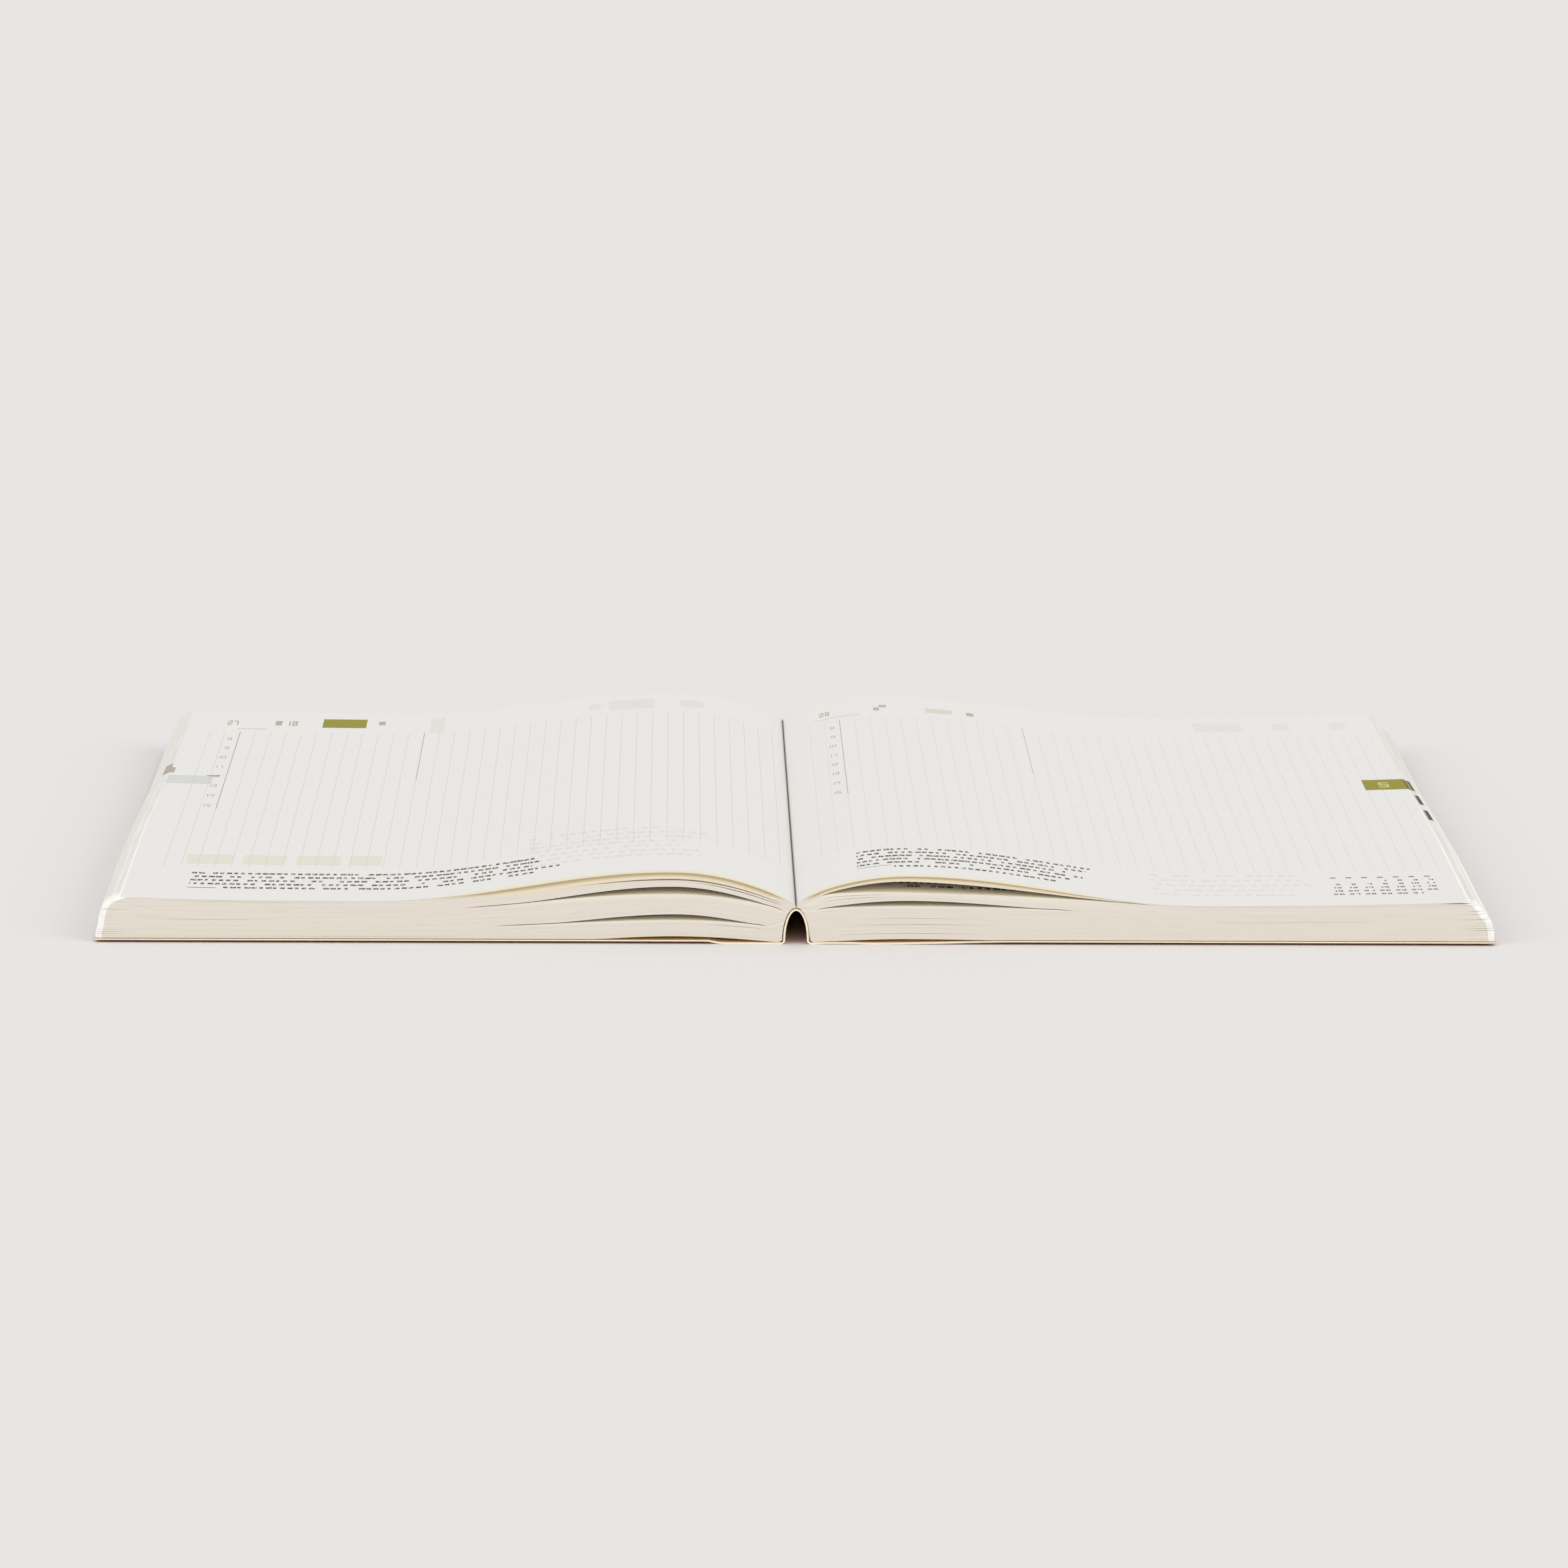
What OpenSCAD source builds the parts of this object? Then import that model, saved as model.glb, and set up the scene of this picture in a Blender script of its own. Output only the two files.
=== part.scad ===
/* [Pages] */
// Width of a page from its fold to its fore-edge
page_w = 148; // [120:1:210]
// Length of a page from its foot to its head
page_l = 210; // [140:1:297]
// Paper between the lining and the bottom of the gutter
gutter_paper = 0.2; // [0.15:0.05:1]

/* [Front half] */
// Height of the open page over the table where the front half lies flat
front_level = 9.25; // [8:0.05:12]
// Rise of the front half's leaves over that height at their crest
front_rise = 7.6; // [6.5:0.05:9]
// Distance from the gutter to the crest of the front half's leaves
front_crest = 23; // [18:1:30]
// Distance from the gutter to where the front half lies flat
front_flat = 95; // [85:1:105]
// Evenness of the front half's slope beside the gutter, 1 being a sine wave
front_slope = 0.75; // [0.55:0.05:1]
// Rise of the open page towards the front half's fore-edge
front_edge_rise = 0.7; // [0:0.05:2]
// Set-back of the front half's top leaf from its lowest one, by the even lean of its fore-edge
front_lean = 3.2; // [1:0.1:5]
// Further set-back of the front half's top leaves, where they curl back
front_curl = 3.8; // [1:0.1:5]
// Evenness of the fall of the leaves under the front half's gaps, 1 being a sine wave
front_sweep = 0.7; // [0.3:0.05:1]

/* [Front half's upper gap] */
// Thickness at the crest of the leaves over the front upper gap
front_upper_over = 3.6; // [2.5:0.05:4]
// Opening of the front upper gap at the crest
front_upper_open = 1.3; // [0.5:0.05:1.6]
// Distance from the gutter to the front upper gap's near end
front_upper_near = 3.2; // [2.5:0.1:5]
// Depth of that near end under the open page
front_upper_near_depth = 3.2; // [2.5:0.1:3.5]
// Distance from the gutter to the front upper gap's far end
front_upper_far = 73; // [60:1:80]
// Depth of that far end under the open page
front_upper_far_depth = 2.8; // [2:0.1:3]

/* [Front half's lower gap] */
// Height over the card of the leaves under the front lower gap, at the crest
front_lower_under = 4.8; // [4:0.1:5.5]
// Opening of the front lower gap at the crest
front_lower_open = 1.25; // [0.5:0.05:1.5]
// Distance from the gutter to the front lower gap's near end
front_lower_near = 6; // [4.5:0.1:8]
// Distance from the gutter to the front lower gap's far end
front_lower_far = 66; // [50:1:72]
// Height of both of its ends over the card
front_lower_ends = 3.4; // [3:0.1:4]

/* [Back half] */
// Height of the open page over the table where the back half lies flat
back_level = 8.7; // [8:0.05:12]
// Rise of the back half's leaves over that height at their crest
back_rise = 6.8; // [6:0.05:8]
// Distance from the gutter to the crest of the back half's leaves
back_crest = 24; // [20:1:32]
// Distance from the gutter to where the back half lies flat
back_flat = 88; // [80:1:100]
// Evenness of the back half's slope beside the gutter, 1 being a sine wave
back_slope = 0.6; // [0.5:0.05:1]
// Rise of the open page towards the back half's fore-edge
back_edge_rise = 0.95; // [0:0.05:2]
// Set-back of the back half's top leaf from its lowest one, by the even lean of its fore-edge
back_lean = 2.3; // [1:0.1:5]
// Further set-back of the back half's top leaves, where they curl back
back_curl = 2.1; // [1:0.1:5]
// Evenness of the fall of the leaves under the back half's gaps, 1 being a sine wave
back_sweep = 0.35; // [0.3:0.05:1]

/* [Back half's upper gap] */
// Thickness at the crest of the leaves over the back upper gap
back_upper_over = 1.4; // [1:0.05:1.8]
// Opening of the back upper gap at the crest
back_upper_open = 2.2; // [0.5:0.05:2.4]
// Distance from the gutter to the back upper gap's near end
back_upper_near = 7.5; // [6:0.1:9]
// Depth of that near end under the open page
back_upper_near_depth = 1.6; // [1.2:0.1:2]
// Distance from the gutter to the back upper gap's far end
back_upper_far = 74; // [64:1:77]
// Depth of that far end under the open page
back_upper_far_depth = 0.5; // [0.4:0.1:0.8]

/* [Back half's lower gap] */
// Height over the card of the leaves under the back lower gap, at the crest
back_lower_under = 8; // [7.2:0.1:8.4]
// Opening of the back lower gap at the crest
back_lower_open = 1.1; // [0.5:0.05:1.3]
// Distance from the gutter to the back lower gap's near end
back_lower_near = 4.6; // [4:0.1:7]
// Distance from the gutter to the back lower gap's far end
back_lower_far = 56; // [48:1:66]
// Height of both of its ends over the card
back_lower_ends = 6.9; // [6:0.1:7.2]

/* [Gaps over the covers] */
// Height over the front cover of the lowest leaf at the crest
front_cover_gap = 1.3; // [0.2:0.05:1.6]
// Distance from the gutter to where the lowest leaf meets the front cover
front_cover_far = 58; // [45:1:80]
// Height over the back cover of the lowest leaf at the crest
back_cover_gap = 0.8; // [0.2:0.05:1.6]
// Distance from the gutter to where the lowest leaf meets the back cover
back_cover_far = 75; // [45:1:90]

/* [Cover card] */
// Thickness of the cover card
card_t = 0.4; // [0.25:0.05:0.6]
// Inner radius of the card's bend between the spine and a cover
crease_r = 0.5; // [0.3:0.05:0.8]
// Clearance at the scored line where a cover swings
crease_gap = 0.1; // [0.05:0.05:0.2]
// Width of the arch inside, near the table
arch_w = 4.7; // [4:0.1:6]
// Height of the arch inside
arch_h = 7.4; // [6:0.1:8]

/* [Lining] */
// Thickness of the glued spine lining
lining_t = 0.25; // [0.15:0.05:0.4]

/* [Hidden] */

// Points along the slope, the long fall, the flat part, the fore-edge and the arch
slope_points = 14;
fall_points = 22;
flat_points = 8;
edge_points = 8;
arch_points = 18;
hinge_points = 24;

// Points crowd towards the gutter, where the leaves are steepest
crowding = 1.5;
// Only the last leaves under the open page curl back: the curl follows this power of their height
curl_bend = 8;

// A gap's opening keeps to the crest: it follows this power of the leaves' wave
opening_bow = 1.8;

paper = "#e9e4d9";
card = "#f0dcc4";
cloth = "#d9c4a6";

// The bend turns the card from the arch into the cover, so the arch springs from its centre
spring_z = crease_r + card_t;
bend_x = arch_w / 2 + spring_z;
hinge_x = bend_x + crease_gap + card_t / 2;
fold_x = arch_w / 2 + card_t + lining_t;
reach = fold_x + page_w;
lining_top = arch_h + card_t + lining_t;
gutter_z = lining_top + gutter_paper;

// One wave: 0 at near, 1 at crest, 0 at far and beyond
function wave(d, near, crest, far, slope = 1) =
    d <= near || d >= far ? 0 :
    d < crest ? pow(sin(90 * (d - near) / (crest - near)), slope) :
    (1 + cos(180 * (d - crest) / (far - crest))) / 2;

function blend(a, b, share) = a + (b - a) * share;

// A half of the planner: its level, rise, crest, flat, slope, edge rise, lean, curl and sweep
FRONT = [front_level, front_rise, front_crest, front_flat, front_slope, front_edge_rise,
         front_lean, front_curl, front_sweep];
BACK = [back_level, back_rise, back_crest, back_flat, back_slope, back_edge_rise,
        back_lean, back_curl, back_sweep];

// Where the top leaf of a half ends, and the height of the open page at a distance d
function top_edge(half) = reach - half[6] - half[7];
function open_z(half, d) =
    blend(gutter_z, half[0], min(1, d / half[3]))
    + half[1] * wave(d, 0, half[2], half[3], half[4])
    + half[5] * pow(max(0, d - half[3]) / (top_edge(half) - half[3]), 2);

// Distances that follow the leaves: close together beside the gutter, wide apart where flat
function steps(near, crest, far) = concat(
    [for (i = [0:slope_points]) near + (crest - near) * pow(i / slope_points, crowding)],
    [for (i = [1:fall_points]) blend(crest, far, i / fall_points)]);

function open_page(half) = concat(
    [for (d = steps(0, half[2], half[3])) [d, open_z(half, d)]],
    [for (i = [1:flat_points])
        let (d = blend(half[3], top_edge(half), i / flat_points)) [d, open_z(half, d)]]);

// The leaves fan back from the lowest one to the top one
function fore_edge(half) =
    let (top = open_z(half, top_edge(half)))
    [for (i = [edge_points - 1:-1:0])
        let (share = i / edge_points)
        [reach - half[6] * share - half[7] * pow(share, curl_bend), blend(card_t, top, share)]];

function lowest_leaf(half, gap, far) =
    [for (d = [for (s = steps(bend_x + crease_r, half[2], far)) -s])
        [-d, card_t + gap * wave(-d, bend_x + crease_r, half[2], far)]];

function reversed(points) = [for (i = [len(points) - 1:-1:0]) points[i]];

// Half of the arch, widened by out, from its springing up to its crown
function arch(out) =
    [for (i = [0:arch_points])
        let (a = 90 * i / arch_points)
        [(arch_w / 2 + out) * cos(a), spring_z + (arch_h + out - spring_z) * sin(a)]];

function half_outline(half, cover_gap, cover_far) = concat(
    open_page(half), fore_edge(half), reversed(lowest_leaf(half, cover_gap, cover_far)),
    arch(card_t + lining_t));

// A gap between two bundles: its lower and upper sides share both ends
function gap_outline(half, near, near_z, far, far_z, low_z, high_z) =
    let (path = steps(near, half[2], far),
         chord = [for (d = path) blend(near_z, far_z, (d - near) / (far - near))],
         middle = blend(near_z, far_z, (half[2] - near) / (far - near)),
         swell = [for (d = path) wave(d, near, half[2], far)],
         low = [for (i = [0:len(path) - 1])
                [path[i], chord[i] + (low_z - middle) * pow(swell[i], half[8])]],
         high = [for (i = [len(path) - 2:-1:1])
                 low[i] + [0, (high_z - low_z) * pow(swell[i], opening_bow)]])
    concat(low, high);

// The upper gap hangs from the open page, and the lower gap stands on the card
module upper_gap(half, near, near_depth, far, far_depth, over, open) {
    crest_z = open_z(half, half[2]);
    polygon(gap_outline(half, near, open_z(half, near) - near_depth,
                        far, open_z(half, far) - far_depth, crest_z - over - open, crest_z - over));
}
module lower_gap(half, near, far, ends, under, open) {
    polygon(gap_outline(half, near, card_t + ends, far, card_t + ends,
                        card_t + under, card_t + under + open));
}

// Stands an outline up across the planner and draws it from foot to head
module along(length) {
    rotate([90, 0, 0]) linear_extrude(height = length, center = true) children();
}

// Pages: one solid each side of the opening
module back_pages() {
    color(paper) along(page_l) difference() {
        polygon(half_outline(BACK, back_cover_gap, back_cover_far));
        upper_gap(BACK, back_upper_near, back_upper_near_depth, back_upper_far,
                  back_upper_far_depth, back_upper_over, back_upper_open);
        lower_gap(BACK, back_lower_near, back_lower_far, back_lower_ends, back_lower_under,
                  back_lower_open);
    }
}
module front_pages() {
    color(paper) along(page_l) mirror([1, 0]) difference() {
        polygon(half_outline(FRONT, front_cover_gap, front_cover_far));
        upper_gap(FRONT, front_upper_near, front_upper_near_depth, front_upper_far,
                  front_upper_far_depth, front_upper_over, front_upper_open);
        lower_gap(FRONT, front_lower_near, front_lower_far, front_lower_ends, front_lower_under,
                  front_lower_open);
    }
}

// Spine: the card's spine panel, folded at the crown of the arch, ends in the bend to a cover
function bend(radius) =
    [for (i = [0:edge_points])
        let (a = 180 + 90 * i / edge_points)
        [bend_x + radius * cos(a), spring_z + radius * sin(a)]];
module spine_leg() {
    polygon(concat(reversed(arch(0)), bend(crease_r + card_t), reversed(bend(crease_r)),
                   arch(card_t)));
}
module spine_back() {
    color(card) along(page_l) spine_leg();
}
module spine_front() {
    color(card) along(page_l) mirror([1, 0]) spine_leg();
}

// Lining: a strip of cloth glued between the spine and the folds of the pages
module lining_leg() {
    polygon(concat(reversed(arch(card_t)), arch(card_t + lining_t)));
}
module lining_back() {
    color(cloth) along(page_l) lining_leg();
}
module lining_front() {
    color(cloth) along(page_l) mirror([1, 0]) lining_leg();
}

// Covers: flat panels of card that swing on the scored lines at the foot of the arch
module cover_panel() {
    translate([hinge_x, card_t / 2]) circle(d = card_t, $fn = hinge_points);
    translate([hinge_x, 0]) square([reach - hinge_x, card_t]);
}
module back_cover() {
    color(card) along(page_l) cover_panel();
}
module front_cover() {
    color(card) along(page_l) mirror([1, 0]) cover_panel();
}

front_cover();
back_cover();
spine_front();
spine_back();
lining_front();
lining_back();
front_pages();
back_pages();
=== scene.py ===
import math
import random

import bpy
from mathutils import Matrix, Vector


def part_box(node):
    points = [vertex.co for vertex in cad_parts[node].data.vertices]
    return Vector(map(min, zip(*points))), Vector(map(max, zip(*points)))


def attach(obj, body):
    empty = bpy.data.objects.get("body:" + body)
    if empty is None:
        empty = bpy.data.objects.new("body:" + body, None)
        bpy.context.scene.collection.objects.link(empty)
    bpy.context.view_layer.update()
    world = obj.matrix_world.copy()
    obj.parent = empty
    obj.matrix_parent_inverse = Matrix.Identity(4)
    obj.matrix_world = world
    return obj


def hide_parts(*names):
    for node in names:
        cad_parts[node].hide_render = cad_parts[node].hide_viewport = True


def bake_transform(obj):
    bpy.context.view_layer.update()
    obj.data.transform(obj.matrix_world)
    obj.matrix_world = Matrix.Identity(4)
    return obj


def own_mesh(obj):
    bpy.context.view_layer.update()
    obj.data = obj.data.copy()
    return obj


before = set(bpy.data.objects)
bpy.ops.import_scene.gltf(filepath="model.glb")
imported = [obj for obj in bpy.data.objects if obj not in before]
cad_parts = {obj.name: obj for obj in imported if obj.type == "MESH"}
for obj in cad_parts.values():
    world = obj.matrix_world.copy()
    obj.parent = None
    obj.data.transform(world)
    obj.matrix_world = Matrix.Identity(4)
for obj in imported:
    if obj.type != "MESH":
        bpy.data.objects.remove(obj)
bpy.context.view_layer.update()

# Cover card: one sheet of cream card, scored twice. Its middle panel is glued to the folds of the
# pages and folds back on itself into a small arch under the gutter, and its ends are the covers.
# It is built as the arch with its two bends, and the two covers that meet it at the scored lines.
mm = 0.001
arch_w = 4.7 * mm
arch_h = 7.4 * mm
crease_r = 0.5 * mm
card_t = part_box("back_cover")[1].z
foot_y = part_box("back_cover")[0].y
head_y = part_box("back_cover")[1].y
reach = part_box("back_cover")[1].x
spring_z = crease_r + card_t
bend_x = arch_w / 2 + spring_z
lift = 0.46 * mm


def smooth(value, start, end):
    share = min(1.0, max(0.0, (value - start) / (end - start)))
    return share * share * (3 - 2 * share)


def arch(angle, out):
    """A point on the arch, from its springing on the back half over its crown to the front half."""
    across = (arch_w / 2 + out) * math.cos(angle)
    return across, spring_z + (arch_h + out - spring_z) * math.sin(angle)


def card_line(turn, out):
    """A point on the bend between arch and cover, out from the card's inner side."""
    radius = crease_r + card_t - out
    return bend_x + radius * math.cos(turn), spring_z + radius * math.sin(turn)


def slab(name, across, along, place, mark=None):
    """A closed sheet: a grid drawn up once, then laid out by place(u, v, w), each from 0 to 1.
    The mesh keeps u, v, w as "grid", and as "leaf" what mark(u, v, w) gives: the place in print, or
    the place at rest of a piece that bends."""
    bpy.ops.object.select_all(action="DESELECT")
    bpy.ops.mesh.primitive_grid_add(x_subdivisions=across, y_subdivisions=along, size=1,
                                    location=(0.5, 0.5, 0))
    piece = bpy.context.object
    piece.name = name
    bpy.ops.object.transform_apply(location=True, rotation=True, scale=True)
    bpy.ops.object.mode_set(mode="EDIT")
    bpy.ops.mesh.select_all(action="SELECT")
    bpy.ops.mesh.extrude_region_move(TRANSFORM_OT_translate={"value": (0, 0, 1)})
    bpy.ops.object.mode_set(mode="OBJECT")
    for kept, rule in (("grid", lambda u, v, w: (u, v, w)), ("leaf", mark)):
        if rule:
            values = piece.data.attributes.new(kept, "FLOAT_VECTOR", "POINT")
            for vertex, value in zip(piece.data.vertices, values.data):
                value.vector = rule(*vertex.co)
    for vertex in piece.data.vertices:
        vertex.co = place(*vertex.co)
    bpy.ops.object.mode_set(mode="EDIT")
    bpy.ops.mesh.select_all(action="SELECT")
    bpy.ops.mesh.normals_make_consistent(inside=False)
    bpy.ops.object.mode_set(mode="OBJECT")
    bpy.ops.object.shade_smooth_by_angle(angle=math.radians(35))
    return piece


def place_spine(u, v, w):
    """From one cover round its bend, over the arch and round the other bend."""
    bend_share = 0.14
    y = foot_y + (head_y - foot_y) * v
    side = 1 if u < 0.5 else -1
    u = min(u, 1 - u)
    if u < bend_share:
        x, z = card_line(math.radians(270 - 90 * u / bend_share), card_t * w)
    else:
        x, z = arch(math.pi / 2 * (u - bend_share) / (0.5 - bend_share), card_t * w)
    return side * x, y, z


def cover_lift(distance, touching):
    """How far the card stands off the table, beyond the line where it touches it."""
    start, end, first_rise = touching
    beside_spine = smooth(distance, bend_x, 7 * mm) * (1 - smooth(distance, 11 * mm, start))
    return lift * smooth(distance, start, end) + first_rise * beside_spine


def place_cover(side, touching):
    def place(u, v, w):
        x = bend_x + (reach - bend_x) * u ** 2
        return side * x, foot_y + (head_y - foot_y) * v, cover_lift(x, touching) + card_t * w
    return place


front_touching = (16 * mm, 19 * mm, 0)
back_touching = (16 * mm, 48 * mm, 0.12 * mm)
spine = slab("spine_card", 100, 12, place_spine, place_spine)
place_front, place_back = place_cover(-1, front_touching), place_cover(1, back_touching)
front_card = slab("front_card", 40, 12, place_front, place_front)
back_card = slab("back_card", 40, 12, place_back, place_back)


class Link:
    """An output inside a material. Sums on it add Math nodes."""

    def __init__(self, tree, socket):
        self.tree = tree
        self.socket = socket

    def add(self, kind, settings=None, inputs=None, output=0):
        """Adds a node: its settings first, then the values or links of its sockets."""
        node = self.tree.nodes.new(kind)
        for name, value in (settings or {}).items():
            if name == "stops":
                stops = node.color_ramp.elements
                stops.remove(stops[1])
                for number, (place, grey) in enumerate(value):
                    stop = stops.new(place) if number else stops[0]
                    stop.position = place
                    stop.color = (grey, grey, grey, 1)
                node.color_ramp.interpolation = "CONSTANT"
            else:
                setattr(node, name, value)
        for name, value in (inputs or {}).items():
            if isinstance(value, Link):
                self.tree.links.new(value.socket, node.inputs[name])
            else:
                node.inputs[name].default_value = value
        return Link(self.tree, node.outputs[output])

    def maths(self, operation, first, second=0.0):
        return self.add("ShaderNodeMath", {"operation": operation}, {0: first, 1: second})

    def __add__(self, other):
        return self.maths("ADD", self, other)

    def __radd__(self, other):
        return self.maths("ADD", other, self)

    def __sub__(self, other):
        return self.maths("SUBTRACT", self, other)

    def __rsub__(self, other):
        return self.maths("SUBTRACT", other, self)

    def __mul__(self, other):
        return self.maths("MULTIPLY", self, other)

    def __rmul__(self, other):
        return self.maths("MULTIPLY", other, self)

    def __truediv__(self, other):
        return self.maths("DIVIDE", self, other)

    def __gt__(self, other):
        return self.maths("GREATER_THAN", self, other)

    def __lt__(self, other):
        return self.maths("LESS_THAN", self, other)

    def __abs__(self):
        return self.maths("ABSOLUTE", self)

    def __mod__(self, other):
        return self.maths("FLOORED_MODULO", self, other)

    def either(self, other):
        return self.maths("MAXIMUM", self, other)

    def floor(self):
        return self.maths("FLOOR", self)

    def ramp(self, low, high, start=0.0, end=1.0):
        """Goes evenly from start at low to end at high."""
        return self.add("ShaderNodeMapRange", {}, {"Value": self, "From Min": low, "From Max": high,
                                                   "To Min": start, "To Max": end})

    def parts(self):
        return [self.add("ShaderNodeSeparateXYZ", {}, {0: self}, output=i) for i in range(3)]

    def attribute(self, name):
        return self.add("ShaderNodeAttribute", {"attribute_name": name}, {}, output=1)

    def stretched(self, x, y, z):
        return self.add("ShaderNodeVectorMath", {"operation": "MULTIPLY"}, {0: self, 1: (x, y, z)})

    def noise(self, scale, detail=2.0):
        return self.add("ShaderNodeTexNoise", {}, {"Vector": self, "Scale": scale, "Detail": detail})

    def painted(self, under, over):
        """The colour under, painted with the colour over where this mask is 1."""
        mix = self.tree.nodes.new("ShaderNodeMix")
        mix.data_type = "RGBA"
        self.tree.links.new(self.socket, mix.inputs[0])
        for place, colour in ((6, under), (7, over)):
            if isinstance(colour, Link):
                self.tree.links.new(colour.socket, mix.inputs[place])
            else:
                mix.inputs[place].default_value = (*colour, 1)
        return Link(self.tree, mix.outputs[2])


def srgb(red, green, blue):
    """A colour as read on a screen, 0 to 255, in the linear values that a shader takes."""
    return tuple(((c / 255 + 0.055) / 1.055) ** 2.4 for c in (red, green, blue))


def new_material(name, roughness):
    """A plain matt material, its shader and the point on the surface."""
    material = bpy.data.materials.new(name)
    material.use_nodes = True
    tree = material.node_tree
    shader = tree.nodes["Principled BSDF"]
    shader.inputs["Roughness"].default_value = roughness
    shader.inputs["Specular IOR Level"].default_value = 0.25
    point = tree.nodes.new("ShaderNodeTexCoord")
    return material, shader, Link(tree, point.outputs["Object"])


def finish(shader, colour, height, strength, distance):
    """Joins the colour and the surface's height to the shader."""
    tree = colour.tree
    tree.links.new(colour.socket, shader.inputs["Base Color"])
    bump = height.add("ShaderNodeBump", {}, {"Strength": strength, "Distance": distance,
                                             "Height": height})
    tree.links.new(bump.socket, shader.inputs["Normal"])


def card_material():
    material, shader, point = new_material("cream_card", 0.62)
    across, up, depth = point.attribute("grid").parts()
    at_rest = point.attribute("leaf")
    x, y, z = at_rest.parts()
    fibres = at_rest.stretched(1, 0.35, 1).noise(900, 4)
    cloud = at_rest.noise(60, 2).ramp(0.4, 0.75)
    colour = fibres.ramp(0.35, 0.7).painted(srgb(252, 238, 214), srgb(255, 247, 228))
    # Painted shadow: the foot of the cut edge is painted dark brown where the card stands off the table,
    # for the shade in the slit under it
    shadow_under_lift = x.ramp(-17 * mm, -20 * mm).either(x.ramp(30 * mm, 46 * mm))
    colour = ((depth < 0.3) * shadow_under_lift).painted(colour, srgb(82, 58, 36))
    inner = (cloud * 0.4).painted(srgb(231, 196, 148), srgb(220, 178, 126))
    # The outer face is brown
    outer = (cloud * 0.2).painted(srgb(200, 144, 88), srgb(190, 134, 80))
    colour = (depth > 0.99).painted(colour, inner)
    colour = (depth < 0.01).painted(colour, outer)
    finish(shader, colour, fibres, 0.25, 0.02 * mm)
    return material


cream_card = card_material()
for piece in (spine, front_card, back_card):
    piece.data.materials.append(cream_card)
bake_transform(spine)
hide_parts("spine_front", "spine_back")
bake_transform(front_card)
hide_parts("front_cover")
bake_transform(back_card)
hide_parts("back_cover")

# Lining: a strip of open-weave cotton, glued over the folds of the pages and to the inside of the
# arched card. Only its foot and head edges show, as a second thin line round the arch.
lining_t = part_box("lining_back")[1].z - arch_h - card_t
glue_t = 0.07 * mm
cloth_t = 0.11 * mm


def place_lining(u, v, w):
    x, z = arch(math.pi * u, card_t + glue_t + cloth_t * w)
    return x, foot_y + (head_y - foot_y) * v, z


def lining_material():
    material, shader, point = new_material("lining_gauze", 0.85)
    thread_pitch = 0.45 * mm
    at_rest = point.attribute("leaf")
    x, y, z = at_rest.parts()
    weft = abs((y / thread_pitch) % 1.0 - 0.5)
    warp = abs(((x + z) / thread_pitch) % 1.0 - 0.5)
    threads = (weft < 0.24).either(warp < 0.24)
    colour = threads.painted(srgb(188, 160, 122), srgb(230, 213, 184))
    across, up, depth = point.attribute("grid").parts()
    cut_edge = (depth > 0.01) * (depth < 0.99)
    colour = cut_edge.painted(colour, (at_rest.noise(1400, 1) > 0.5).painted(srgb(206, 168, 124),
                                                                         srgb(140, 92, 60)))
    finish(shader, colour, threads, 0.5, 0.03 * mm)
    return material


lining = slab("lining_strip", 60, 10, place_lining, place_lining)
lining.data.materials.append(lining_material())
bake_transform(lining)
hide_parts("lining_front", "lining_back")

# Pages: thin matt paper in sewn sections, 88 leaves each side of the opening. The leaves rise from
# the gutter in a bow, part into bundles with gaps under the crest, and lie flat towards the
# fore-edge, where they fan back. Each bundle is drawn as slabs of a few leaves, one on another.
gutter_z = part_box("lining_back")[1].z + 0.2 * mm
head_rise = 0.85
head_lift = 0.4 * mm
leaf_air = 0.004 * mm
squash_z = 9 * mm
clear_of_card = 0.16 * mm
paper_step = 0.5 * mm
corner_r = 1.1 * mm
least_open = 0.2 * mm


def wave(distance, near, crest, far, slope=1.0):
    """One wave: 0 at near, 1 at crest, 0 at far and beyond."""
    if distance <= near or distance >= far:
        return 0.0
    if distance < crest:
        return math.sin(math.pi / 2 * (distance - near) / (crest - near)) ** slope
    return (1 + math.cos(math.pi * (distance - crest) / (far - crest))) / 2


def between(a, b, share):
    return a + (b - a) * share


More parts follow.
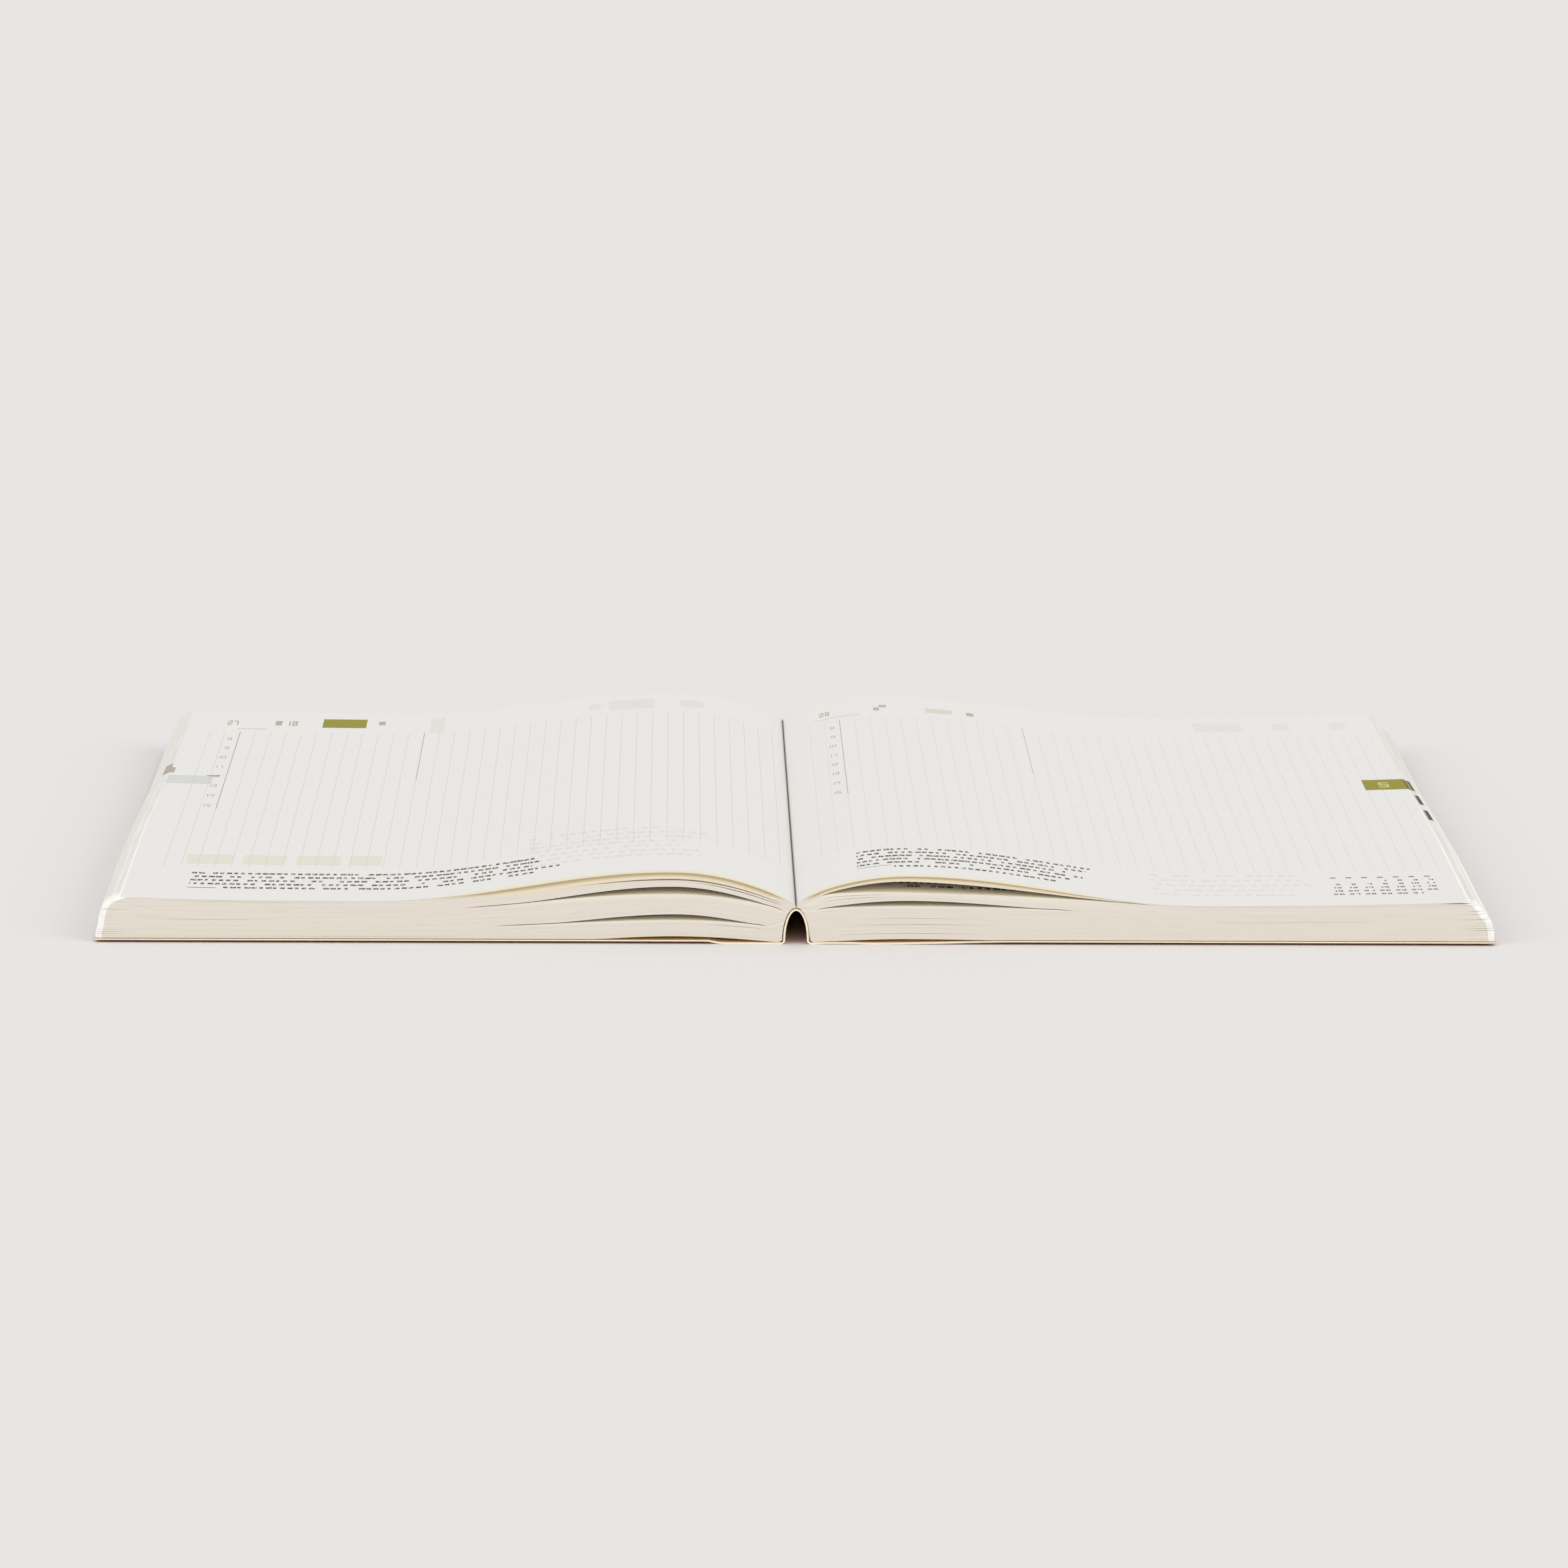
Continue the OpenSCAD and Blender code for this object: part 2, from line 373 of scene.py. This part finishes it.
class Half:
    """The leaves on one side of the opening, by their heights at a distance from the gutter."""

    def __init__(self, side, **sizes):
        self.side = side
        for name, value in sizes.items():
            setattr(self, name, value)
        self.top_edge = reach - self.inset(1.0)
        self.paper = [0.0]
        for number in range(1, 301):
            step = self.open_page(number * paper_step) - self.open_page((number - 1) * paper_step)
            self.paper.append(self.paper[-1] + math.hypot(paper_step, step))

    def inset(self, share, y=-1.0):
        """How far a leaf's fore-edge stands back. Towards the head the leaves lean back more."""
        at_foot = self.lean * share ** 2 + self.curl * share ** 10
        at_head = self.head_lean * share + self.head_curl * share ** 6
        return between(at_foot, at_head, smooth(y, -40 * mm, 50 * mm))

    def open_page(self, d):
        rise_out = max(0.0, d - self.flat) / (self.top_edge - self.flat)
        return (between(gutter_z, self.level, min(1.0, d / self.flat))
                + self.rise * wave(d, 0, self.crest, self.flat, self.slope)
                + self.edge_rise * rise_out ** 2)

    def paper_distance(self, x):
        """How much paper lies between the gutter and x, along the open page."""
        steps = x / paper_step
        whole = min(int(steps), len(self.paper) - 2)
        return between(self.paper[whole], self.paper[whole + 1], steps - whole)

    def lowest_leaf(self, d):
        start = bend_x + crease_r
        card_top = card_t + cover_lift(d, self.touching) + clear_of_card * smooth(d, start, 2 * start)
        if d < start:
            return between(spring_z, card_t, (d - arch_foot) / (start - arch_foot))
        return max(card_top, card_t + self.cover_gap * wave(d, start, self.crest, self.cover_far))

    def gap(self, d, near, near_z, far, far_z, low, high, upper_side):
        """A side of the gap between two bundles. Past the gap's ends both sides are one line."""
        if d < near:
            start_x, start_z = arch(math.radians(self.gap_angle(near_z)), page_out)
            return between(start_z, near_z, (d - start_x) / (near - start_x))
        if d > far:
            share = (far_z - self.lowest_leaf(far)) / (self.open_page(far) - self.lowest_leaf(far))
            return between(self.lowest_leaf(d), self.open_page(d), share)
        chord = between(near_z, far_z, (d - near) / (far - near))
        middle = between(near_z, far_z, (self.crest - near) / (far - near))
        swell = wave(d, near, self.crest, far)
        height = chord + (low - middle) * swell ** self.sweep
        if not upper_side:
            return height
        ends = smooth(d, near, near + 1.5 * mm) * (1 - smooth(d, far - 6 * mm, far))
        return height + max((high - low) * swell ** self.opening_bow, least_open * ends)

    def gap_angle(self, near_z):
        """Where on the arch the leaves beside a gap are folded, in degrees."""
        return 90 * min(1.0, (near_z - 0.6 * mm) / gutter_z)

    def gap_shares(self):
        """The share of the leaves under the lower and under the upper gap."""
        return (self.lower_ends + card_t) / self.level, 1 - self.upper_far_depth / self.level

    def upper_gap(self, d, upper_side):
        high = self.open_page(self.crest) - self.upper_over
        return self.gap(d, self.upper_near, self.open_page(self.upper_near) - self.upper_near_depth,
                        self.upper_far, self.open_page(self.upper_far) - self.upper_far_depth,
                        high - self.upper_open, high, upper_side)

    def lower_gap(self, d, upper_side):
        ends = card_t + self.lower_ends
        low = card_t + self.lower_under
        return self.gap(d, self.lower_near, ends, self.lower_far, ends,
                        low, low + self.lower_open, upper_side)


page_w = 148 * mm
arch_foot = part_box("lining_back")[1].x
page_out = arch_foot - arch_w / 2 + 0.03 * mm
# For each half, in order: the open page, its fore-edge, the upper gap, the lower gap, the gap over
# the cover, the slabs in each bundle, and the slits: bundle and slab, start, end and how high
front = Half(-1, level=9.25 * mm, rise=7.5 * mm, crest=26 * mm, flat=93 * mm, slope=0.75,
             edge_rise=0.7 * mm, lean=2.5 * mm, curl=3.0 * mm, head_lean=3.8 * mm,
             head_curl=3.0 * mm, outermost=0.62, top_curl=0,
             sweep=0.7, opening_bow=1.5, upper_over=3.4 * mm, upper_open=1.65 * mm,
             upper_near=2.5 * mm, upper_near_depth=3.0 * mm,
             upper_far=73 * mm, upper_far_depth=2.8 * mm,
             lower_under=4.8 * mm, lower_open=1.35 * mm, lower_near=6 * mm, lower_far=66 * mm,
             lower_ends=3.4 * mm, cover_gap=1.3 * mm, cover_far=58 * mm, touching=front_touching,
             slabs=(5, 6, 6),
             slits={(2, 2): (3, 52, 0.34), (2, 1): (3, 24, 0.2), (0, 3): (7, 20, 0.08),
                    (2, 4): (100, 145, 0.05), (0, 0): (70, 120, 0.05), (1, 2): (110, 146, 0.05)})
back = Half(1, level=8.7 * mm, rise=6.8 * mm, crest=24 * mm, flat=88 * mm, slope=0.6,
            edge_rise=0.95 * mm, lean=1.8 * mm, curl=4.1 * mm, head_lean=2.8 * mm,
            head_curl=4.4 * mm, outermost=0.74, top_curl=0.3 * mm,
            sweep=0.35, opening_bow=1.05, upper_over=1.3 * mm, upper_open=2.4 * mm,
            upper_near=5.2 * mm, upper_near_depth=1.6 * mm,
            upper_far=78 * mm, upper_far_depth=0.5 * mm,
            lower_under=8 * mm, lower_open=1.25 * mm, lower_near=4.2 * mm, lower_far=62 * mm,
            lower_ends=6.9 * mm, cover_gap=0.8 * mm, cover_far=75 * mm, touching=back_touching,
            slabs=(11, 4, 4),
            slits={(2, 1): (2, 20, 0.07), (1, 2): (4, 24, 0.08), (1, 1): (6, 22, 0.07),
                   (0, 6): (16, 40, 0.06), (0, 4): (12, 46, 0.07), (0, 1): (9, 44, 0.08),
                   (0, 8): (90, 130, 0.05)})


def bundle_sides(half):
    """The lower and upper side of each bundle, as a height line with the share of the leaves
    under it, and the number of slabs that the bundle is drawn as."""
    flat_low, flat_high = half.gap_shares()
    lowest = (half.lowest_leaf, 0.0)
    top = (half.open_page, 1.0)
    return [(lowest, (lambda d: half.lower_gap(d, False), flat_low), half.slabs[0]),
            ((lambda d: half.lower_gap(d, True), flat_low),
             (lambda d: half.upper_gap(d, False), flat_high), half.slabs[1]),
            ((lambda d: half.upper_gap(d, True), flat_high), top, half.slabs[2])]


def leaf_point(half, line, share, u, crowd=1.6):
    """A point on a height line: from the fold on the arch at u = 0 to the fore-edge at u = 1."""
    start_x, start_z = arch(math.pi / 2 * share, page_out)
    d = between(start_x, reach - half.inset(share), u ** crowd)
    return (d, line(d)) if u > 0 else (start_x, start_z)


def corner(y):
    """How far the rounded corners of the leaves draw the fore-edge in, at the foot and the head."""
    from_end = min(y - foot_y, head_y - y)
    if from_end >= corner_r:
        return 0.0
    return corner_r - math.sqrt(corner_r ** 2 - (corner_r - from_end) ** 2)


# The trimmed edges of the slabs differ by up to these lengths, and their fore-edges gape as much
foot_trim_most = 0.07 * mm
head_trim_most = 0.3 * mm
edge_trim_most = 0.12 * mm
fan_most = 0.1 * mm
only_fore_edge = 60
only_corners = 40
across, along = 72, 16
rows_from_end = (0, 0.12, 0.4, 0.75, 1.1, 10, 32, 65, 105)
length = head_y - foot_y


def row_place(v):
    """The rows of points lie close together at the foot and the head, round the corners."""
    number = round(v * along)
    if number > along // 2:
        return head_y - rows_from_end[along - number] * mm
    return foot_y + rows_from_end[number] * mm


def page_slabs(half, name):
    """All slabs of one side of the opening, with their place among the leaves in "leaf"."""
    made = []
    trim = random.Random(7 + half.side)
    for bundle, (low, high, count) in enumerate(bundle_sides(half)):
        low_points = [leaf_point(half, *low, step / across) for step in range(across + 1)]
        high_points = [leaf_point(half, *high, step / across) for step in range(across + 1)]
        for number in range(count):
            foot_trim = trim.uniform(0, foot_trim_most)
            head_trim = trim.uniform(0, head_trim_most)
            edge_trim = trim.uniform(0, edge_trim_most)
            fan_open = max(0, trim.uniform(-fan_most, fan_most))
            slit_start, slit_end, slit = half.slits.get((bundle, number), (0, 1, 0.0))
            top_leaf = bundle == 2 and number == count - 1

            def place(u, v, w):
                level = (number + w) / count
                share = between(low[1], high[1], level)
                (x0, z0), (x1, z1) = low_points[round(u * across)], high_points[round(u * across)]
                x, z = between(x0, x1, level), between(z0, z1, level)
                y = row_place(v)
                if u == 0:
                    x, z = arch(math.pi / 2 * share, page_out)
                up = (y - foot_y) / length
                top = half.open_page(x)
                hump = half.rise * wave(x, 0, half.crest, half.flat, half.slope)
                change = head_lift * smooth(x, 0, half.flat) - (1 - head_rise) * hump
                z += up * change * max(0.0, z - card_t) / (top - card_t)
                z += leaf_air * (1 - 2 * w)
                slit_middle = (slit_start + slit_end) / 2
                z -= slit * mm * w * wave(x, slit_start * mm, slit_middle * mm, slit_end * mm, 0.5)
                z -= fan_open * w * smooth(x, reach - 7 * mm, reach - 2 * mm)
                if not top_leaf:
                    curled = wave(x, reach - 12 * mm, reach - 6 * mm, reach)
                    z -= half.top_curl * curled * (1 - up) * (z - card_t) / (top - card_t)
                widest = between(half.inset(low[1]), half.inset(high[1]), level)
                x += (widest - half.inset(share, y)) * u ** only_fore_edge
                x -= (corner(y) + edge_trim) * u ** only_corners
                y += foot_trim * max(0.0, 1 - (y - foot_y) / corner_r)
                y -= head_trim * max(0.0, 1 - (head_y - y) / corner_r)
                return half.side * x, y, z

            def mark(u, v, w):
                share = between(low[1], high[1], (number + w) / count)
                paper_x = half.paper_distance(high_points[round(u * across)][0])
                if half.side < 0:
                    paper_x = page_w - paper_x
                return paper_x, row_place(v), share

            made.append(slab(f"{name}_{len(made)}", across, along, place, mark))
    return made


front_slabs = page_slabs(front, "front_leaves")
back_slabs = page_slabs(back, "back_leaves")


def within(value, low, high):
    """A mask: 1 where the value is between low and high."""
    return abs(value - (low + high) / 2) < (high - low) / 2


def block(across, up, left, right, low, high):
    return within(across, left, right) * within(up, low, high)


def either_of(masks):
    joined = masks[0]
    for mask in masks[1:]:
        joined = joined.either(mask)
    return joined


def ruling(value, pitch, first, width):
    """Lines at first and every pitch from it."""
    return abs((value - first) / pitch % 1.0 - 0.5) > 0.5 - width / pitch / 2


def small_print(across, up, left, right, high, rows, row_pitch, letter_pitch):
    """Rows of small dark marks of even height, broken into short words."""
    row = ((high - up) / row_pitch).floor()
    shifted = across / letter_pitch + row * 0.43
    letter = shifted.floor()
    cell = across.add("ShaderNodeCombineXYZ", {}, {0: letter, 1: row, 2: left})
    spare = cell.add("ShaderNodeTexWhiteNoise", {"noise_dimensions": "3D"}, {"Vector": cell})
    ends = across.add("ShaderNodeCombineXYZ", {}, {0: row, 1: 7.3, 2: right})
    short = ends.add("ShaderNodeTexWhiteNoise", {"noise_dimensions": "3D"}, {"Vector": ends})
    place = across.add("ShaderNodeCombineXYZ", {}, {0: across * 2.1, 1: up * 1.2, 2: row})
    strokes = place.noise(1.0, 1.0) > 0.4
    inside = (across > left) * (across < right - (right - left) * 0.22 * short)
    lines = within((high - up) / row_pitch % 1.0, 0.2, 0.66) * (row > -0.5) * (row < rows - 0.5)
    letters = (shifted % 1.0 > 0.1) * (shifted % 1.0 < 0.45 + spare * 0.55) * (spare > 0.12)
    return inside * lines * letters * strokes


# Which digits light the top, upper right, lower right, foot, lower left, upper left and middle bar
bars = ["02356789", "01234789", "013456789", "0235689", "0268", "045689", "2345689"]


def numeral(across, up, digit, pen=0.2):
    """A plain numeral of bars, in a cell of 1 across and 1 up."""
    top, foot, middle = up > 1 - pen / 1.5, up < pen / 1.5, within(up, 0.5 - pen / 3, 0.5 + pen / 3)
    left, right = across < pen, across > 1 - pen
    upper, lower = up > 0.5 - pen / 3, up < 0.5 + pen / 3
    shapes = [top, right * upper, right * lower, foot, left * lower, left * upper, middle]
    drawn = None
    for shape, lit in zip(shapes, bars):
        stops = [(number / 10, 1.0 if str(number) in lit else 0.0) for number in range(10)]
        bar = shape * (digit / 10 + 0.05).add("ShaderNodeValToRGB", {"stops": stops},
                                              {0: digit / 10 + 0.05})
        drawn = bar if drawn is None else drawn.either(bar)
    return drawn * within(across, 0, 1) * within(up, 0, 1)


def number(across, up, value, pen=0.2):
    """A plain number of one or two figures, in a cell of 1 across and 1 up."""
    tens = (value / 10).floor()
    second = across > 0.5
    figure = tens + second * (value - tens * 11)
    drawn = numeral((across * 2 % 1.0 - 0.1) / 0.76, up, figure, pen) * second.either(tens > 0.5)
    return drawn * within(across, 0, 1)


def calendar(across, up, left, high, column, row, first):
    """A month in seven columns: a row of short bars for the days, then the numbers 1 to 31."""
    place_x, place_y = (across - left) / column, (high - up) / row
    day = (place_y.floor() - 1) * 7 + place_x.floor() - first
    in_cell = (place_x % 1.0 - 0.15) / 0.75
    figures = number(in_cell, 1 - (place_y % 1.0 - 0.3) / 0.42, day, 0.34)
    numbers = figures * (day > 0.5) * (day < 31.5)
    names = within(place_x % 1.0, 0.35, 0.72) * within(place_y, 0.35, 0.62)
    return numbers.either(names) * within(place_x, 0, 7) * within(place_y, 0, 6)


grid = 3.7


def page_layout(across, up):
    """What both pages carry: the ruled squares, the hours and the two darker lines."""
    ruled = ruling(across, grid, 14.9, 0.13).either(ruling(up, grid, -72, 0.09))
    ruled = ruled * block(across, up, 7.4, 144.5, -72.1, 80)
    column = block(across, up, 14.8, 15.04, -11, 80).either(block(across, up, 59.2, 59.4, 24, 80))
    row = (73 - up) / (3 * grid)
    hours = number((across - 11) / 2.6, 1 - (row % 1.0 - 0.08) / 0.24, row.floor() + 8)
    hours = hours * block(across, up, 11, 13.6, -15, 73)
    return ruled, column, hours


def paper_material(name, half, print_marks, edge_marks, top_depth):
    """Matt cream-white paper: print on the open page, fine leaf lines on the cut edges."""
    material, shader, point = new_material(name, 0.72)
    across, up, share = point.attribute("leaf").parts()
    across, up = across * 1000, up * 1000
    along_leaf, up_leaf, through = point.attribute("grid").parts()
    upper_face, lower_face = through > 0.999, through < 0.001
    x, y, z = point.parts()
    fibres = point.noise(1500, 3).ramp(0.3, 0.7)
    hump = z.ramp(9.6 * mm, 11 * mm)
    # Painted bounce light: the leaves' inner faces, seen in the gaps, are warmer and lighter than the
    # open page of the same paper
    inner = fibres.painted(srgb(250, 243, 226), srgb(254, 248, 234))
    page = fibres.painted(srgb(232, 230, 226), srgb(238, 236, 233))
    page = (share > 0.9995).painted(inner, page)
    # Painted warm glow on the open page along its foot edge over the bow
    page = (up.ramp(-102.3, -104.8) * hump * 0.8).painted(page, srgb(238, 228, 196))
    for mask, colour, strength in print_marks(across, up, share < 0.9995):
        page = (mask * strength).painted(page, colour)
    # Painted shade: a dark olive line down the gutter where the two pages meet
    page = (abs(x).ramp(0.35 * mm, 0.12 * mm) * 0.65).painted(page, srgb(116, 112, 90))
    # The cut edges: cream at the foot and head, with warmer and darker rims over the bow, which are
    # painted glow, painted highlights and painted shade
    lines_at = point.add("ShaderNodeCombineXYZ", {}, {0: across / 30, 1: y * 20, 2: share * 88})
    lines = lines_at.noise(2.6, 3).ramp(0.3, 0.72)
    edges = lines.painted(srgb(226, 218, 206), srgb(238, 231, 220))
    # Painted warm bounce light on the edges of the lowest leaves, over the card
    edges = (share.ramp(0.05, 0.0) * 0.7).painted(edges, srgb(240, 214, 176))
    # Painted highlight: a lighter rim on the edges of the leaves just under each gap, where the gap is
    # open
    for gap_share in half.gap_shares():
        painted_rim_highlight = share.ramp(gap_share - 0.06, gap_share - 0.02) * (share < gap_share)
        painted_rim_highlight = painted_rim_highlight * abs(x).ramp(66 * mm, 52 * mm)
        edges = (painted_rim_highlight * 0.6).painted(edges, srgb(244, 238, 222))
    # Over the bow the top leaves' edges get a painted warm glow, a painted olive shadow line and a
    # painted highlight along the top; where the leaves lie flat, a thin painted shade line runs along the
    # top
    depth = (1 - share) * top_depth
    edges = (depth.ramp(2.2, 1.4) * hump * 0.8).painted(edges, srgb(244, 226, 190))
    edges = (depth.ramp(1.3, 0.6) * hump * 0.85).painted(edges, srgb(176, 158, 118))
    edges = ((depth < 0.28) * hump * 0.85).painted(edges, srgb(244, 237, 212))
    edges = ((depth < 0.25) * (1 - hump) * 0.35).painted(edges, srgb(200, 190, 178))
    fore_edge = lines.ramp(0.2, 0.8).painted(srgb(222, 219, 213), srgb(240, 238, 233))
    # Painted highlights: white bands on the fore-edge that fade towards the head, and the rounded foot
    # corner painted white
    fore_edge_highlight = within(share, half.outermost - 0.13, half.outermost + 0.1).either(share > 0.985)
    fore_edge_highlight = fore_edge_highlight.either(within(share, 0.92, 0.95) * 0.5)
    fore_edge = (fore_edge_highlight * up.ramp(60, -60) * 0.85).painted(fore_edge, srgb(253, 252, 248))
    fore_edge = up.ramp(-98, -103).painted(fore_edge, srgb(254, 253, 249))
    for mask, colour in edge_marks(up, share):
        fore_edge = mask.painted(fore_edge, colour)
    edges = (along_leaf > 0.9985).painted(edges, fore_edge)
    sheet = upper_face.either(lower_face).painted(edges, inner)
    under_gap = within(share, half.gap_shares()[1] - 0.0005, half.gap_shares()[1] + 0.0005)
    printed = (share > 0.9995).either(under_gap) * upper_face
    colour = printed.painted(sheet, page)
    finish(shader, colour, printed * fibres * 0.2 + (1 - printed) * lines, 0.3, 0.03 * mm)
    return material


olive, ink, grey_line = srgb(152, 145, 52), srgb(74, 72, 50), srgb(186, 185, 178)
pale_olive, shadow_print = srgb(216, 214, 176), srgb(212, 211, 212)
brown_mark, dark_mark = srgb(140, 104, 92), srgb(84, 82, 74)


def front_print(across, up, below):
    ruled, column, hours = page_layout(across, up)
    header = block(across, up, 34.3, 44.9, 86.3, 97)
    marks = number((across - 11) / 3, (up - 88) / 5.4, across * 0 + 27, 0.3)
    marks = marks.either(block(across, up, 22.8, 24.4, 88.3, 94)).either(
        number((across - 25) / 3.4, (up - 88) / 6, across * 0 + 18, 0.3))
    marks = marks.either(block(across, up, 47.8, 49.4, 90, 94.5))
    underline = block(across, up, 14, 21, 83, 84.2)
    faint = block(across, up, 60.5, 64, 80, 98)
    fields = ((12.2, 22.3), (24.4, 34), (36.2, 46), (48, 55))
    large = either_of([block(across, up, left, right, -69.4, -59.4) for left, right in fields])
    text = small_print(across, up, 14.2, 97, -77, 4, 3.55, 1.55)
    text = text.either(small_print(across, up, 21.7, 97, -91.2, 1, 3.55, 1.55))
    text = text.either(block(across, up, 14, 20.3, -93.5, -93))
    through = small_print(across, up, 88, 130, -56, 7, 4.8, 2.3)
    back_header = either_of([block(across, up, 104, 115.2, 85, 97), block(across, up, 121.5, 127, 87, 96),
                             block(across, up, 99.3, 102, 88, 95)])
    tab = block(across, up, -4, 12, 17, 26.4)
    tab_line = block(across, up, 10.4, 13.4, 26, 27)
    index = block(across, up, -4, -0.4, 29, 40).either(block(across, up, 0, 1.6, 29, 35))
    return [(through, shadow_print, 0.45), (back_header, shadow_print, 0.35), (tab, shadow_print, 0.8),
            (ruled, grey_line, 0.5), (column, srgb(150, 148, 138), 0.65), (large, pale_olive, 0.4),
            (header, olive, 1.0), (faint, srgb(224, 219, 212), 0.6), (marks, srgb(140, 136, 96), 0.65),
            (underline, srgb(200, 194, 176), 0.6), (hours, ink, 0.6), (text, ink, 0.95),
            (tab_line, ink, 0.7), (index, brown_mark, 0.6)]


def back_print(across, up, below):
    ruled, column, hours = page_layout(across, up)
    marks = either_of([number((across - 10) / 2.8, (up - 87) / 5.4, across * 0 + 28, 0.3),
                       block(across, up, 23.4, 24.8, 87, 91), block(across, up, 24.8, 26.6, 91, 94),
                       block(across, up, 46, 47.8, 86, 90)])
    faint = block(across, up, 36, 42.6, 85.5, 91).either(block(across, up, 9, 20, 83, 84.2))
    text = small_print(across, up, 15, 72, -75.2, 5, 3.4, 1.5)
    text = text.either(small_print(across, up, 23, 64, -93, 1, 3.4, 1.5))
    text = text.either(small_print(across, up, 25, 52, -96.2, 1, 4.4, 1.7) * below)
    thin_line = block(across, up, 15, 22.5, -93.4, -92.8)
    through = small_print(across, up, 80, 118, -73, 5, 4.8, 2.3)
    back_header = either_of([block(across, up, 102, 113.5, 87, 98), block(across, up, 121, 125, 88, 96),
                             block(across, up, 135, 139, 88, 96)])
    month = calendar(across, up, 118.4, -76.2, 3.45, 3.25, 2)
    tab = block(across, up, 136.6, 152, 15.6, 27.2)
    figure = numeral((across - 140.2) / 2.6, (up - 18.4) / 5.6, across * 0 + 5, 0.3)
    return [(through, shadow_print, 0.4), (back_header, shadow_print, 0.3), (ruled, grey_line, 0.35),
            (column, srgb(150, 148, 138), 0.5), (marks, srgb(140, 136, 96), 0.6),
            (faint, srgb(206, 203, 184), 0.6), (thin_line, srgb(150, 148, 138), 0.7),
            (hours, ink, 0.55), (text, ink, 0.95), (month, ink, 0.9), (tab, olive, 1.0),
            (figure, srgb(214, 208, 150), 0.8)]


def front_edge_marks(up, share):
    return [(within(up, 29, 40) * (share > 0.9) * 0.6, brown_mark)]


def back_edge_marks(up, share):
    dashes = within(up, 0, 10.4).either(within(up, -17, -6.2)) * within(share, 0.93, 0.975)
    return [(dashes, dark_mark), (within(up, 15.6, 27.2) * (share > 0.93), srgb(120, 112, 62))]


front_paper = paper_material("front_paper", front, front_print, front_edge_marks, 11.9)
back_paper = paper_material("back_paper", back, back_print, back_edge_marks, 34)


def cut_off(piece, keep_upper):
    """Cuts a closed slab level at the height under which the leaves keep their shape."""
    bpy.ops.object.select_all(action="DESELECT")
    bpy.context.view_layer.objects.active = piece
    piece.select_set(True)
    bpy.ops.object.mode_set(mode="EDIT")
    bpy.ops.mesh.select_all(action="SELECT")
    bpy.ops.mesh.bisect(plane_co=(0, 0, squash_z), plane_no=(0, 0, 1), use_fill=True, threshold=1e-7,
                        clear_inner=keep_upper, clear_outer=not keep_upper)
    bpy.ops.mesh.mark_sharp()
    bpy.ops.object.mode_set(mode="OBJECT")


def lowest_and_highest(piece):
    heights = [vertex.co.z for vertex in piece.data.vertices]
    return min(heights), max(heights)


def join(pieces, name, paper):
    bpy.ops.object.select_all(action="DESELECT")
    for piece in pieces:
        piece.select_set(True)
    bpy.context.view_layer.objects.active = pieces[0]
    bpy.ops.object.join()
    joined = bpy.context.object
    joined.name = name
    joined.data.materials.clear()
    joined.data.materials.append(paper)
    bpy.ops.object.shade_smooth_by_angle(angle=math.radians(35))
    return joined


def page_pieces(slabs, name, body, node, paper):
    """The leaves are cut at squash_z: those under the cut and the bow above it become two pieces on the
    half's body.
    """
    upper, lower = [], []
    for piece in slabs:
        low, high = lowest_and_highest(piece)
        if high <= squash_z:
            lower.append(piece)
        elif low >= squash_z:
            upper.append(piece)
        else:
            twin = piece.copy()
            twin.data = piece.data.copy()
            bpy.context.collection.objects.link(twin)
            cut_off(piece, False)
            cut_off(twin, True)
            lower.append(piece)
            upper.append(twin)
    lower = join(lower, f"{name}_lower", paper)
    upper = join(upper, f"{name}_bowed", paper)
    for piece in (lower, upper):
        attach(piece, body)
        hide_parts(node)
    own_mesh(upper)


page_pieces(front_slabs, "front_leaves", "front_half", "front_pages", front_paper)
page_pieces(back_slabs, "back_leaves", "back_half", "back_pages", back_paper)

# Studio: a plain pale floor under a plain pale sky, a soft lamp on each side and the camera at
# the foot of the planner, low over the table.
bpy.ops.object.select_all(action="DESELECT")
bpy.ops.mesh.primitive_plane_add(size=24)
floor = bpy.context.object
floor.name = "floor"
floor_material, floor_shader, floor_point = new_material("pale_floor", 0.9)
floor_shader.inputs["Base Color"].default_value = (*srgb(233, 231, 230), 1)
floor_shader.inputs["Specular IOR Level"].default_value = 0.0
floor.data.materials.append(floor_material)

world = bpy.data.worlds.new("sky")
world.use_nodes = True
world.node_tree.nodes["Background"].inputs["Color"].default_value = (*srgb(250, 250, 250), 1)
world.node_tree.nodes["Background"].inputs["Strength"].default_value = 0.81
bpy.context.scene.world = world

for name, side, energy in (("window", 1, 0.72), ("far_window", -1, 0.66)):
    light = bpy.data.lights.new(name, "SUN")
    light.energy = energy
    light.angle = math.radians(40)
    lamp = bpy.data.objects.new(name, light)
    bpy.context.collection.objects.link(lamp)
    lamp.rotation_euler = Vector((0.85 * side, -0.45, 0.55)).to_track_quat("Z", "Y").to_euler()

camera_place = (-25.75 * mm, -1566.2 * mm, 334.1 * mm)
camera_turn, camera_dip, camera_roll = 0.0157, 0.2017, 0.0062
focal_share = 6951 / 1568
camera_data = bpy.data.cameras.new("camera")
camera_data.sensor_width = 36
camera_data.lens = 36 * focal_share
camera_data.clip_end = 60
camera = bpy.data.objects.new("camera", camera_data)
bpy.context.collection.objects.link(camera)
camera.location = camera_place
camera.rotation_euler = (Matrix.Rotation(-camera_turn, 3, "Z")
                         @ Matrix.Rotation(math.pi / 2 - camera_dip, 3, "X")
                         @ Matrix.Rotation(camera_roll, 3, "Z")).to_euler()
bpy.context.scene.camera = camera
bpy.context.scene.view_settings.view_transform = "Standard"
